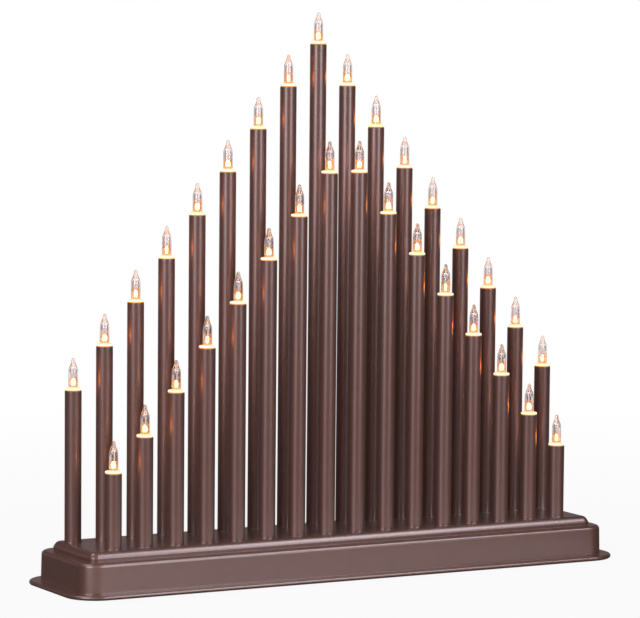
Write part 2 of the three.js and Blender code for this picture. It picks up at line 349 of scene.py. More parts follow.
softbox("softbox_left", -60, 17, 2.0, 1.0, 1.4, 4.5)
softbox("softbox_right", 15, 17, 2.0, 0.9, 1.4, 4.3)
edge_light_right = softbox("edge_light_right", 46, 46, 2.0, 0.7, 0.8, 6.5)
softbox("edge_light_left", -112, 60, 1.8, 0.8, 0.8, 3.4)
back_light = softbox("back_light", 165, 12, 2.2, 1.6, 1.0, 2.5)
edge_light_right.visible_diffuse = False
back_light.visible_glossy = back_light.visible_transmission = False

# %% Dark tent and cards
TENT_RADIUS = 3.2
TENT_SHADE = (0.05, 0.05, 0.05)
CLOTH_SHADE = (0.06, 0.06, 0.06)
CLOTH_LIFT = 0.0002
PAPER_FRONT = (-0.55, 0.28, -0.21, -0.075)  # left, right, near and far edge of the bare paper
CARD_DISTANCE = 2.6
CARD_STEPS = 16
SIDE_CARD = (0.0, 1.8, (0.34, 0.34, 0.34))  # height of its foot and head, and its colour
LOW_CARD = (0.0, 0.7, (0.32, 0.25, 0.25))
FRONT_CARD = (1.3, 2.7, (2.2, 2.2, 2.2))


def glowing(name, colour):
    """A plain colour of its own, which needs no lamp."""
    material, graph = new_finish(name)
    graph.surface(graph.node("Emission", {}, {"Color": colour}))
    return material


def surround(name, bm, finish, seen_by):
    """Something round the object that only one kind of ray sees."""
    made = object_from(name, bm, finish)
    for kind in ("camera", "diffuse", "glossy", "transmission", "volume_scatter", "shadow"):
        setattr(made, "visible_" + kind, kind == seen_by)


bm = bmesh.new()
bmesh.ops.create_uvsphere(bm, u_segments=48, v_segments=24, radius=TENT_RADIUS)
whole = bm.verts[:] + bm.edges[:] + bm.faces[:]
bmesh.ops.bisect_plane(bm, geom=whole, plane_co=(0, 0, 0), plane_no=(0, 0, -1), clear_outer=True)
surround("tent", bm, glowing("black tent", TENT_SHADE), "glossy")

left, right, near, far = PAPER_FRONT
bm = bmesh.new()
for corners in (
    (-TENT_RADIUS, TENT_RADIUS, far, TENT_RADIUS),
    (-TENT_RADIUS, TENT_RADIUS, -TENT_RADIUS, near),
    (-TENT_RADIUS, left, near, far),
    (right, TENT_RADIUS, near, far),
):
    add_shape(bm, sheet(*corners, CLOTH_LIFT))
surround("cloth", bm, glowing("black cloth", CLOTH_SHADE), "glossy")


def bent_card(name, first, last, card, seen_by):
    """A card that bends round the object from one azimuth to another."""
    foot_height, head_height, colour = card
    bm = bmesh.new()
    start = direction(first, 0) * CARD_DISTANCE
    foot = bm.verts.new(start + Vector((0, 0, foot_height)))
    head = bm.verts.new(start + Vector((0, 0, head_height)))
    edge = bm.edges.new((foot, head))
    bmesh.ops.spin(
        bm, geom=[foot, head, edge], cent=(0, 0, 0), axis=(0, 0, 1),
        angle=radians(last - first), steps=CARD_STEPS, use_merge=False,
    )
    surround(name, bm, glowing(name, colour), seen_by)


bent_card("card_right", 40, 124, SIDE_CARD, "transmission")
bent_card("card_left", 179, 262, SIDE_CARD, "transmission")
bent_card("card_behind", 110, 215, LOW_CARD, "glossy")
bent_card("card_front", -45, 5, FRONT_CARD, "glossy")
print("tent and cards are up")

# %% [markdown]
# ## Making pieces
#
# Most of this object was turned or drawn: tubes, collars, bulbs, feet. A profile of radius and
# height, spun about an upright axis, gives each of them with its lips, grooves and hollows. Other
# helpers round a profile, cut one shape with another and hand a finished mesh to its body.


# %% Profiles
SAME_PLACE = 0.002 * MM  # points nearer than this are one


def arc(centre, radius, start, end, steps=8):
    """Points of a round stretch, with its angles in degrees."""
    angles = [radians(start + (end - start) * i / steps) for i in range(steps + 1)]
    return [(centre[0] + radius * cos(a), centre[1] + radius * sin(a)) for a in angles]


def flowing(points, steps=4):
    """A smooth line through the points, with its ends kept."""
    ends = [points[0], *points, points[-1]]
    line = []
    for a, b, c, d in zip(ends, ends[1:], ends[2:], ends[3:]):
        for i in range(steps):
            t = i / steps
            line.append(tuple(
                0.5 * (2 * q + (r - p) * t + (2 * p - 5 * q + 4 * r - s) * t * t
                       + (3 * q - p - 3 * r + s) * t * t * t)
                for p, q, r, s in zip(a, b, c, d)
            ))
    return [*line, points[-1]]


def spin_profile(profile, steps, closed=False):
    """Spins a profile in millimetres about the Z axis. A closed one makes a ring."""
    bm = bmesh.new()
    verts = [bm.verts.new((max(r, 0) * MM, 0, z * MM)) for r, z in profile]
    pairs = list(zip(verts, verts[1:])) + ([(verts[-1], verts[0])] if closed else [])
    edges = [bm.edges.new(pair) for pair in pairs]
    bmesh.ops.spin(
        bm, geom=verts + edges, cent=(0, 0, 0), axis=(0, 0, 1),
        angle=2 * pi, steps=steps, use_merge=True,
    )
    return bm


def cleaned(bm):
    """Joins points that coincide and makes every face look outwards."""
    bmesh.ops.remove_doubles(bm, verts=bm.verts, dist=SAME_PLACE)
    bmesh.ops.recalc_face_normals(bm, faces=bm.faces)
    return bm


def turned(profile, steps, closed=False):
    """A solid or a ring that was turned on a lathe."""
    return cleaned(spin_profile(profile, steps, closed))


# %% Cutting and joining
def drawn_shape(made):
    """A curve, or an object with its modifiers, as a shape."""
    mesh = bpy.data.meshes.new_from_object(made.evaluated_get(bpy.context.evaluated_depsgraph_get()))
    bm = bmesh.new()
    bm.from_mesh(mesh)
    bpy.data.meshes.remove(mesh)
    return bm


def combined(bm, tool, operation):
    """The shape after a boolean with a tool shape. Both are used up."""
    body, cutter = (put_in_scene(bpy.data.objects.new("part", mesh_of(part))) for part in (bm, tool))
    modifier = body.modifiers.new("boolean", "BOOLEAN")
    modifier.operation = operation
    modifier.solver = "EXACT"
    modifier.object = cutter
    result = drawn_shape(body)
    for part in (body, cutter):
        bpy.data.meshes.remove(part.data)
    return result


# %% Handing over a piece
SHARP = radians(38)  # an edge that bends more than this stays sharp


def piece(name, bm, finish, slot, body, *nodes):
    """Makes a shape a named piece that rides on a body and stands for CAD nodes."""
    for face in bm.faces:
        face.smooth = True
    for edge in bm.edges:
        edge.smooth = len(edge.link_faces) != 2 or edge.calc_face_angle() < SHARP
    made = object_from(name, bm, finish)
    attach(made, body)
    if nodes:
        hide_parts(*nodes)
    return made


print("the workshop is ready")

# %% [markdown]
# ## The lacquer
#
# The base and the tubes wear the same brown metallic lacquer. It has two layers. Fine metal
# flakes lie in brown pigment and give a broad brown sheen. A clear layer over them gives the
# thin pale lights on the tubes. The flakes are finer than a tenth of a millimetre, so they
# show as a faint grain. The sprayed film also has soft waves, a few millimetres long.

# %% Lacquer
FLAKE = 0.35 * MM
MOTTLE = 9 * MM
SPRAY_WAVE = 4.5 * MM


def lacquer_finish(name):
    material, graph = new_finish(name)
    flakes = graph.noise(FLAKE, detail=1.0)
    mottle = graph.noise(MOTTLE, detail=2.0)
    shade = flakes * 0.55 + mottle * 0.45
    colour = graph.node("ValToRGB", {"stops": [
        (0.28, (0.118, 0.050, 0.037)),
        (0.72, (0.150, 0.065, 0.049)),
    ]}, {"Fac": shade})
    wave = graph.noise(SPRAY_WAVE, detail=1.0)
    graph.surface(graph.principled(
        Base_Color=colour,
        Metallic=0.35,
        Roughness=0.46 + mottle * 0.10,
        Specular_IOR_Level=0.3,
        Coat_Weight=1.0,
        Coat_Roughness=0.28,
        Coat_IOR=1.7,
        Normal=graph.bump(wave + flakes * 0.12, 0.004 * MM),
    ))
    return material


base_lacquer = lacquer_finish("base lacquer")
tube_lacquer = lacquer_finish("tube lacquer")
print("lacquer", base_lacquer.name, tube_lacquer.name)

# %% [markdown]
# ## Where the candles stand
#
# Each bulb is a CAD node of its own. Its box gives the candle's place and height, and the bank
# of tubes that holds it is the one whose box lies round that place.

# %% Candles
BULB_HEIGHT = 22.5 * MM  # from the collar's top to the tip
COLLAR_HEIGHT = 2.7 * MM


def named(start):
    """The CAD nodes whose names start like this."""
    return sorted(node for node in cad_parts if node.startswith(start))


def middle_of(node):
    """The middle of a node's box."""
    return [(low + high) / 2 for low, high in zip(*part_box(node))]


banks = {name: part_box(name) for name in named("tube_bank")}
candles = {}
for node in named("bulb_"):
    x, y, _ = middle_of(node)
    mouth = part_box(node)[1].z - BULB_HEIGHT
    bank = next(
        name for name, (low, high) in banks.items() if low.x < x < high.x and low.y < y < high.y
    )
    candles[node.removeprefix("bulb_")] = {
        "x": x, "y": y, "mouth": mouth, "rim": mouth - COLLAR_HEIGHT,
        "bulb": node, "bank": bank,
    }
print(len(candles), "candles in", len(banks), "banks")

# %% [markdown]
# ## The base housing
#
# The real base is one drawn shell: a flange with a rolled rim, a wall that leans in slightly, a
# shelf, a low step and the deck. The deck's edge turns down softly, slopes, and ends in a tight
# bend, so that it catches one broad even light. The section is the same all the way round. It is
# drawn once: spun through a right angle it makes a corner, drawn out it makes half of a long and
# a short side, and mirrored twice it makes the whole ring. The deck closes the ring, with a hole
# and a small bead of lacquer round each tube.

# %% Section of the base
CORNER_RADIUS = 16.5
FLANGE_OUT = 9.0
RIM_RADIUS = 1.7
STEP_IN = 9.5
DECK_BENDS = [(4.6, 42, 5), (11.0, 24, 6), (0.6, 0, 3)]  # radius, last angle and steps of each bend
DECK_ROUND_INSIDE = 3.0
SHELF_FILLET = 3.0
WALL_LEAN = 0.5
STEP_HEIGHT = 7.05
STEP_LEAN = 0.35  # the step stands back a little where it meets the shelf
COVE = 0.12  # the hollow rounds at the foot of the wall and of the step
SHELL = 2.0
FLAT_EDGE = 0.15  # a narrow flat strip keeps the deck's shading even

low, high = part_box("base_housing")
half_x, half_y = high.x, high.y
bottom, deck = low.z / MM, high.z / MM
flange_top = bottom + 2 * RIM_RADIUS
shelf = deck - STEP_HEIGHT


def soft_edge(bends):
    """Arcs that flow into each other, from level ground outwards and down."""
    line, angle = [(0.0, 0.0)], 90
    for radius, end, steps in bends:
        x, z = line[-1]
        centre = (x - radius * cos(radians(angle)), z - radius * sin(radians(angle)))
        line += arc(centre, radius, angle, end, steps)[1:]
        angle = end
    return line


deck_edge = soft_edge(DECK_BENDS)
deck_start = -STEP_IN - deck_edge[-1][0]
inner_start = -STEP_IN - SHELL - DECK_ROUND_INSIDE
outer = [
    (deck_start - FLAT_EDGE, deck),
    *((deck_start + x, deck + z) for x, z in deck_edge),
    *arc((-STEP_IN - STEP_LEAN + COVE, shelf + COVE), COVE, 180, 270, 4),
    *arc((-WALL_LEAN - SHELF_FILLET, shelf - SHELF_FILLET), SHELF_FILLET, 90, 0, 8),
    *arc((COVE, flange_top + COVE), COVE, 180, 270, 5),
    *arc((FLANGE_OUT - RIM_RADIUS, bottom + RIM_RADIUS), RIM_RADIUS, 90, -90, 12),
]
inner = [
    (-SHELL, bottom),
    (-SHELL, flange_top),
    (-SHELL - WALL_LEAN, shelf - SHELL),
    (-STEP_IN - SHELL, shelf - SHELL),
    *arc((inner_start, deck - SHELL - DECK_ROUND_INSIDE), DECK_ROUND_INSIDE, 0, 90, 5),
    (inner_start - FLAT_EDGE, deck - SHELL),
]
section = outer + inner
print("section of", len(section), "points, from", bottom, "to", round(deck, 2), "mm")

# %% Ring of the base
CORNER_TURNS = 16
centre_x = half_x - (FLANGE_OUT + CORNER_RADIUS) * MM
centre_y = half_y - (FLANGE_OUT + CORNER_RADIUS) * MM

bm = bmesh.new()
verts = [bm.verts.new((centre_x + (CORNER_RADIUS + out) * MM, centre_y, z * MM)) for out, z in section]
side_edges = [bm.edges.new(pair) for pair in zip(verts, verts[1:])]
spun = bmesh.ops.spin(
    bm, geom=verts + side_edges, cent=(centre_x, centre_y, 0), axis=(0, 0, 1),
    angle=pi / 2, steps=CORNER_TURNS, use_merge=False,
)
front_edges = [g for g in spun["geom_last"] if isinstance(g, bmesh.types.BMEdge)]
for edges, way in ((front_edges, (-centre_x, 0, 0)), (side_edges, (0, -centre_y, 0))):
    drawn = bmesh.ops.extrude_edge_only(bm, edges=edges)
    new_verts = [g for g in drawn["geom"] if isinstance(g, bmesh.types.BMVert)]
    bmesh.ops.translate(bm, vec=way, verts=new_verts)
for axis in "XY":
    whole = bm.verts[:] + bm.edges[:] + bm.faces[:]
    bmesh.ops.mirror(bm, geom=whole, matrix=Matrix.Identity(4), merge_dist=SAME_PLACE, axis=axis)
print("ring of", len(bm.faces), "faces")

# %% Deck with its holes
TUBE_RADIUS = 6.5
BEAD_RADIUS = 0.27
BEAD_OUT = 7.1  # the bead's outer radius
BEAD_TOP = 0.5
HOLE_SIDES = 32

sleeve = spin_profile([  # open at both ends
    (BEAD_OUT, 0),
    *arc((BEAD_OUT - BEAD_RADIUS, BEAD_TOP - BEAD_RADIUS), BEAD_RADIUS, 0, 180, 6),
    (BEAD_OUT - 2 * BEAD_RADIUS, -SHELL),
], HOLE_SIDES)
for candle in candles.values():
    add_shape(bm, shifted(sleeve.copy(), candle["x"], candle["y"], deck * MM))
for height, way in ((deck, 1), (deck - SHELL, -1)):
    edges = [
        edge for edge in bm.edges
        if edge.is_boundary and all(abs(v.co.z - height * MM) < 5 * SAME_PLACE for v in edge.verts)
    ]
    bmesh.ops.triangle_fill(bm, use_beauty=True, use_dissolve=False, edges=edges, normal=(0, 0, way))
bmesh.ops.recalc_face_normals(bm, faces=bm.faces)
print("deck closed,", sum(edge.is_boundary for edge in bm.edges), "open edges left")

# %% [markdown]
# Under the shelf stand six bosses for the screws of the bottom plate, and the back wall has a
# round hole for the mains lead. Both come from booleans: a union for the bosses, so that they
# grow out of the shell, and a difference for the holes.

# %% Bosses and the hole for the mains lead
BOSS_RADIUS = 3.75
PILOT_RADIUS = 1.75
BOSS_FOOT = 3.9
BOSS_HEAD = shelf - 1.0  # inside the shell, so that the union is clean
PILOT_TOP = 11.9
CABLE_HOLE = 5.0
DRILL_REACH = 8.0

screw_places = {node: middle_of(node)[:2] for node in named("cover_screw")}


def rod(radius, foot, head, steps):
    return turned([(0, foot), (radius, foot), (radius, head), (0, head)], steps)


def lay_along_y(bm):
    """Turns an upright shape so that its top points back."""
    bmesh.ops.rotate(bm, cent=(0, 0, 0), matrix=Matrix.Rotation(-pi / 2, 3, "X"), verts=bm.verts)


bosses, pilots = bmesh.new(), bmesh.new()
for x, y in screw_places.values():
    add_shape(bosses, shifted(rod(BOSS_RADIUS, BOSS_FOOT, BOSS_HEAD, 24), x, y, 0))
    add_shape(pilots, shifted(rod(PILOT_RADIUS, 0, PILOT_TOP, 16), x, y, 0))

bushing_low, bushing_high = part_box("cable_bushing")
bushing_x, _, bushing_z = middle_of("cable_bushing")
wall_y = half_y - FLANGE_OUT * MM
drill = rod(CABLE_HOLE, -DRILL_REACH, DRILL_REACH, 32)
lay_along_y(drill)
shifted(drill, bushing_x, wall_y, bushing_z)

bm = combined(bm, bosses, "UNION")
bm = combined(bm, pilots, "DIFFERENCE")
bm = combined(bm, drill, "DIFFERENCE")
print("base shell of", len(bm.faces), "faces")
base = piece("base_shell", bm, base_lacquer, "base_lacquer", "candlestick", "base_housing")
flat_first = base.modifiers.new("even shading", "WEIGHTED_NORMAL")
flat_first.keep_sharp = True

# %% [markdown]
# ## The candle tubes
#
# A tube is drawn aluminium with a wall of one millimetre, lacquered like the base. Its cut edge
# is broken, which gives the fine pale line under the collar. Below the deck a rail holds the
# tubes of a bank: a plate with a hole for each of them.

# %% Tubes
TUBE_WALL = 1.0
EDGE_BREAK = 0.15
EDGE_STRAIGHT = 0.3  # a short straight stretch below the edge keeps the wall's shading upright
TUBE_TURNS = 40


def tube_shape(foot, rim):
    bore = TUBE_RADIUS - TUBE_WALL
    profile = [
        (bore, foot),
        (TUBE_RADIUS, foot),
        (TUBE_RADIUS, rim - EDGE_BREAK - EDGE_STRAIGHT),
        *arc((TUBE_RADIUS - EDGE_BREAK, rim - EDGE_BREAK), EDGE_BREAK, 0, 90, 3),
        *arc((bore + EDGE_BREAK, rim - EDGE_BREAK), EDGE_BREAK, 90, 180, 3),
        (bore, rim - EDGE_BREAK - EDGE_STRAIGHT),
    ]
    return turned(profile, TUBE_TURNS, closed=True)


for name, candle in candles.items():
    shape = tube_shape(banks[candle["bank"]][0].z / MM, candle["rim"] / MM)
    shifted(shape, candle["x"], candle["y"], 0)
    piece("candle_tube_" + name, shape, tube_lacquer, "tube_lacquer", "candlestick", candle["bank"])

# %% Rails
RAIL_THICK = 3.7
RAIL_CORNER = 2.0
RAIL_FIT = 0.05  # how much wider than a tube its hole is


def rail_shape(low, high, holes):
    """A plate with rounded corners and a hole for each tube."""
    bm = sheet(low.x, high.x, low.y, high.y, low.z)
    bmesh.ops.delete(bm, geom=bm.faces[:], context="FACES_ONLY")
    bmesh.ops.bevel(
        bm, geom=bm.verts[:], affect="VERTICES", offset=RAIL_CORNER * MM,
        segments=4, profile=0.5, material=-1,
    )
    for x, y in holes:
        bmesh.ops.create_circle(
            bm, cap_ends=False, segments=TUBE_TURNS, radius=(TUBE_RADIUS + RAIL_FIT) * MM,
            matrix=Matrix.Translation((x, y, low.z)),
        )
    bmesh.ops.triangle_fill(bm, use_beauty=True, use_dissolve=False, edges=bm.edges[:])
    raised = bmesh.ops.extrude_face_region(bm, geom=bm.faces[:])
    top = [g for g in raised["geom"] if isinstance(g, bmesh.types.BMVert)]
    bmesh.ops.translate(bm, vec=(0, 0, RAIL_THICK * MM), verts=top)
    bmesh.ops.recalc_face_normals(bm, faces=bm.faces)
    return bm


for name, (low, high) in banks.items():
    holes = [(c["x"], c["y"]) for c in candles.values() if c["bank"] == name]
    rail = rail_shape(low, high, holes)
    piece(name.replace("tube_bank", "tube_rail"), rail, tube_lacquer, "tube_lacquer", "candlestick", name)
print("rails", len(banks))

# %% [markdown]
# ## Lamp holders
#
# A holder is a cream plastic plug in the tube's mouth. Only its round collar shows, and it glows:
# the filament lights the plastic from inside, nearly white on top, yellow on the side and
# orange where it meets the tube. A glow inside plastic is costly to render and too small to
# see here, so the collar gives off its own light, in colours that follow its height. The mesh
# carries that height as an attribute, because each collar stands at another level.

# %% Glowing plastic
def between(points, x):
    """The value at x on a line of straight stretches."""
    for (x0, y0), (x1, y1) in zip(points, points[1:]):
        if x <= x1:
            return y0 + (y1 - y0) * max(0.0, (x - x0) / (x1 - x0))
    return points[-1][1]


def mark(bm, name, line=None):
    """Stores a number for each point: its height in millimetres, or what a line gives for that."""
    layer = bm.verts.layers.float.new(name)
    for vert in bm.verts:
        height = vert.co.z / MM
        vert[layer] = between(line, height) if line else height


def rise_ramp(graph, top, stops):
    """Colours by the height that was stored, from 0 to top millimetres."""
    rise = graph.node("Attribute", {"attribute_name": "rise"}, {}, output="Fac")
    return graph.node("ValToRGB", {"stops": stops}, {"Fac": rise * (1 / top)})


holder_plastic, graph = new_finish("holder plastic")
haze = graph.noise(1.2 * MM)
light = rise_ramp(graph, COLLAR_HEIGHT / MM, [
    (0.03, (0.20, 0.05, 0.02)),
    (0.13, (0.52, 0.15, 0.05)),
    (0.25, (0.88, 0.42, 0.12)),
    (0.40, (1.00, 0.82, 0.40)),
    (0.56, (1.00, 1.00, 0.80)),
    (0.72, (1.00, 1.00, 0.88)),
    (0.87, (0.95, 0.72, 0.44)),
    (0.98, (0.80, 0.46, 0.24)),
])
clouded = graph.mix(haze * 0.2, light, (0.9, 0.60, 0.24))
graph.surface(graph.principled(
    Base_Color=graph.mix(haze, (0.30, 0.21, 0.12), (0.38, 0.28, 0.17)),
    Roughness=0.38 + haze * 0.12,
    Emission_Color=clouded,
    Emission_Strength=1.0,
))

# %% Holders
HOLDER_DEPTH = 16.0
HOLDER_SLACK = 0.3
HOLDER_TAPER = 0.6
SOCKET_RADIUS = 2.7
SOCKET_DEPTH = 10.3
SOCKET_ROUND = 0.4
COLLAR_RADIUS = 6.5
COLLAR_ROUND = 1.15
COLLAR_LIFT = 0.06  # the gap between the collar and the tube's cut edge
FACE_RADIUS = 4.6  # the collar's top rises a little from here to the socket
FACE_RISE = 0.17
collar_top = COLLAR_HEIGHT / MM
collar_middle = (COLLAR_RADIUS - COLLAR_ROUND, COLLAR_ROUND + COLLAR_LIFT)
holder_body = TUBE_RADIUS - TUBE_WALL - HOLDER_SLACK

holder = turned([
    (0, -HOLDER_DEPTH),
    (holder_body - HOLDER_TAPER, -HOLDER_DEPTH),
    (holder_body, -HOLDER_DEPTH + HOLDER_TAPER),
    (holder_body, COLLAR_LIFT),
    *arc(collar_middle, COLLAR_ROUND, -90, 72, 10),
    (FACE_RADIUS, collar_top - FACE_RISE),
    *arc((SOCKET_RADIUS + SOCKET_ROUND, collar_top - SOCKET_ROUND), SOCKET_ROUND, 90, 180, 3),
    (SOCKET_RADIUS, collar_top - SOCKET_DEPTH),
    (0, collar_top - SOCKET_DEPTH),
], 32)
mark(holder, "rise")
for name, candle in candles.items():
    string = "lamp_string_" + name.split("_")[0]
    shape = shifted(holder.copy(), candle["x"], candle["y"], candle["rim"])
    piece("lamp_holder_" + name, shape, holder_plastic, "holder_plastic", "candlestick", string)
print("holders", len(candles))

# %% [markdown]
# ## Bulbs
#
# A bulb is a drawn glass tube with a thick wall. It narrows to a shoulder and ends in the solid
# nose where it was sealed, with a fine thread of glass left inside. The wall has to be real, as
# two skins, because light bends at both. The two are spun from two profiles. The inner one is
# then turned inside out, so that its faces point out of the glass and into the hollow.
#
# The filament's light runs about in the thick glass and comes out amber. That glow is painted:
# amber emission patches, most of them low down, round the filament, and a few in the nose. Both
# skins carry how much painted glow they show, and a cloudy pattern breaks it up differently in
# each bulb.

# %% Glass in two skins
GLASS_TURNS = 32
glass_outside = flowing([
    (0, 0.3), (2.8, 0.3), (3.5, 0.6), (3.65, 1.6), (3.65, 5.0), (3.63, 10.0), (3.56, 13.0),
    (3.32, 14.6), (2.78, 16.1), (2.15, 17.6), (1.7, 19.1), (1.5, 20.6), (1.2, 21.8),
    (0.6, 22.4), (0, 22.5),
])
glass_inside = flowing([
    (0, 0.9), (1.6, 0.95), (2.2, 1.5), (2.35, 3.0), (2.32, 7.0), (2.25, 11.0), (2.12, 13.0),
    (1.7, 14.3), (1.0, 14.9), (0.5, 14.5), (0.24, 13.6), (0.2, 11.5), (0.18, 9.2), (0, 8.4),
])
# How much painted filament glow each skin shows, by height. Below 0 there is none.
GLOW_OUTSIDE = [
    (0.0, 0.50), (1.0, 0.25), (3.0, -0.1), (8.0, -0.2), (13.0, -0.1), (14.6, 0.0),
    (16.0, 0.12), (22.5, 0.08),
]
GLOW_INSIDE = [
    (0.9, 1.0), (2.0, 0.95), (4.0, 0.75), (6.0, 0.5), (8.0, 0.25), (10.0, 0.05), (14.9, -0.2),
]

glass = turned(glass_outside, GLASS_TURNS)
mark(glass, "rise")
mark(glass, "glow", GLOW_OUTSIDE)
hollow = turned(glass_inside, GLASS_TURNS)
mark(hollow, "glow", GLOW_INSIDE)
bmesh.ops.reverse_faces(hollow, faces=hollow.faces)
add_shape(glass, hollow)
print("glass of", len(glass_outside), "and", len(glass_inside), "points")

# %% Clear glass with painted amber glow
PAINTED_GLOW_COVER = 0.65  # the most that a patch of painted glow hides of what is behind it
bulb_glass, graph = new_finish("bulb glass")
streak = graph.noise(1.5 * MM)
clear = graph.principled(
    Base_Color=graph.mix(streak, (0.80, 0.74, 0.74), (0.90, 0.86, 0.86)),
    Roughness=0.02,
    IOR=1.5,
    Transmission_Weight=1.0,
)
# Painted amber glow: where this mask is high, amber emission takes the place of the clear glass.
glow = graph.node("Attribute", {"attribute_name": "glow"}, {}, output="Fac")
flicker = graph.noise(1.1 * MM, detail=1.0, upright=2.0)
painted_glow_mask = ((flicker + glow * 0.6 - 0.6) * 6).clamped() * PAINTED_GLOW_COVER
amber = graph.node("ValToRGB", {"stops": [
    (0.00, (0.60, 0.16, 0.05)),
    (0.30, (0.92, 0.32, 0.10)),
    (0.55, (1.00, 0.50, 0.18)),
    (0.80, (1.00, 0.74, 0.30)),
    (1.00, (1.00, 0.93, 0.55)),
]}, {"Fac": glow * 0.55 + (flicker - 0.5) * 2.2})
painted_glow = graph.node("Emission", {}, {"Color": amber, "Strength": 1.2})
lit_glass = graph.node("MixShader", {}, {0: painted_glow_mask, 1: clear, 2: painted_glow})
lets_light = graph.node("BsdfTransparent", {}, {"Color": (0.92, 0.9, 0.88)})
shadow_ray = graph.node("LightPath", output="Is Shadow Ray")
seen = graph.node("MixShader", {}, {0: shadow_ray, 1: lit_glass, 2: lets_light})
print("the most that a patch hides", PAINTED_GLOW_COVER)

# %% [markdown]
# A camera clips what is too bright, so a lit bulb looks white and pale amber. The lacquer beside
# it mirrors a small part of its light, and there its real colour shows: deep orange glints. So
# mirror rays that come straight from something close by see a painted glow, brightest round the
# filament. They find it by chance and not as a lamp, which would take many samples.

# %% The bulb as the lacquer mirrors it
MIRROR_FIRE = 11.0  # how bright it is there
MIRROR_REACH = 48 * MM  # and from how far away it still is
MIRROR_FADE = 20 * MM
LIT_HEIGHT = 15  # the height in millimetres at the end of the ramp

mirrored_light = rise_ramp(graph, LIT_HEIGHT, [
    (0.02, (0.30, 0.07, 0.01)),
    (0.15, (1.00, 0.24, 0.03)),
    (0.40, (1.00, 0.24, 0.03)),
    (0.60, (0.10, 0.03, 0.01)),
])
# Painted glint: an emission that only mirror rays from close by see.
mirrored = graph.node("Emission", {}, {"Color": mirrored_light, "Strength": MIRROR_FIRE})
paths = ["Is Glossy Ray", "Is Transmission Ray", "Ray Depth", "Ray Length"]
glossy_ray, clear_ray, depth, length = (graph.node("LightPath", output=name) for name in paths)
straight = (2 - depth).clamped()
near = ((MIRROR_REACH - length) * (1 / MIRROR_FADE)).clamped()
in_mirror = (glossy_ray - clear_ray).clamped() * straight * near
graph.surface(graph.node("MixShader", {}, {0: in_mirror, 1: seen, 2: mirrored}))
bulb_glass.cycles.emission_sampling = "NONE"
print("a lit bulb is mirrored over", round(MIRROR_REACH / MM), "mm")

# %% [markdown]
# Inside, two lead-in wires stand up from the plug, and between their tips stands the filament: a
# coil of fine tungsten wire in an upright loop. The coil is a curve with round thickness,
# turned into a mesh. It is so hot that the camera sees it white, with an orange fringe where the
# glass spreads it.

# %% Filament and lead-in wires
LOOP_MIDDLE = 3.8
LOOP_HALF_WIDTH = 1.15
LOOP_HALF_HEIGHT = 2.2
LOOP_OPEN = 25.0  # degrees left open at the foot, on each side
COIL_RADIUS = 0.65
COIL_TURNS = 15
COIL_STEPS = 8
WIRE_RADIUS = 0.24
LEAD_RADIUS = 0.16
LEAD_SPREAD = 0.8  # half the distance between the two lead-in wires
LEAD_FOOT = -0.5
LEAD_KNEE = 1.2


def wire_mesh(points, radius):
    """A round wire along points in millimetres, as a closed mesh."""
    curve = bpy.data.curves.new("wire", "CURVE")
    curve.dimensions = "3D"
    curve.bevel_depth = radius * MM
    curve.bevel_resolution = 1
    curve.use_fill_caps = True
    line = curve.splines.new("POLY")
    line.points.add(len(points) - 1)
    for point, place in zip(line.points, points):
        point.co = (*(c * MM for c in place), 1)
    bm = drawn_shape(put_in_scene(bpy.data.objects.new("wire", curve)))
    bpy.data.curves.remove(curve)
    return cleaned(bm)


def coil_point(t, width=COIL_RADIUS):
    """A point of the coil, whose middle line is the loop. t runs from one lead to the other."""
    round_loop = radians(LOOP_OPEN - 90 + (360 - 2 * LOOP_OPEN) * t)
    turn = 2 * pi * COIL_TURNS * t
    out = width * cos(turn)
    return (
        (LOOP_HALF_WIDTH + out) * cos(round_loop),
        width * sin(turn),
        LOOP_MIDDLE + (LOOP_HALF_HEIGHT + out) * sin(round_loop),
    )


coil_steps = COIL_TURNS * COIL_STEPS
coil = wire_mesh([coil_point(i / coil_steps) for i in range(coil_steps + 1)], WIRE_RADIUS)
leads = bmesh.new()
for end in (0, 1):
    tip = coil_point(end, 0)
    side = LEAD_SPREAD if tip[0] > 0 else -LEAD_SPREAD
    add_shape(leads, wire_mesh([(side, 0, LEAD_FOOT), (side, 0, LEAD_KNEE), tip], LEAD_RADIUS))
print("coil of", len(coil.faces), "faces, leads of", len(leads.faces))

# %% Hot tungsten
HOT = 45.0
tungsten, graph = new_finish("hot tungsten")
heat = graph.node("ValToRGB", {"stops": [
    (0.3, (1.0, 0.27, 0.07)),
    (0.7, (1.0, 0.35, 0.11)),
]}, {"Fac": graph.noise(0.8 * MM)})
graph.surface(graph.principled(
    Base_Color=(0.3, 0.28, 0.26),
    Roughness=0.5,
    Emission_Color=heat,
    Emission_Strength=HOT,
))

# %% [markdown]
# The small parts, from the wires to the rubber feet, have plainer finishes. Each still drifts
# between two shades and two roughnesses, in lumps of a size that suits the material. Moulded
# ones have a fine grain too.

# %% Finishes of the small parts


def clouded_finish(name, lump, dark, light, roughness, grain=None, detail=2.0, metallic=0.0):
    """Drifts between two colours and two roughnesses. A grain has a size and a depth."""
    material, graph = new_finish(name)
    cloud = graph.noise(lump, detail)
    smooth, rough = roughness
    sockets = {
        "Base_Color": graph.mix(cloud, dark, light),
        "Metallic": metallic,
        "Roughness": smooth + cloud * (rough - smooth),
    }
    if grain:
        size, depth = grain
        sockets["Normal"] = graph.bump(graph.noise(size), depth)
    graph.surface(graph.principled(**sockets))
    return material


nickel = clouded_finish(
    "nickel wire", 0.5 * MM, (0.42, 0.38, 0.34), (0.62, 0.58, 0.54), (0.25, 0.45), metallic=1.0,
)
print("finishes", tungsten.name, nickel.name)

# %% [markdown]
# The plug below the glass is the part that is gripped and pushed in. It shows when a bulb is
# pulled. The two lead-in wires come out of its foot and fold up its sides, where the socket's
# springs touch them.

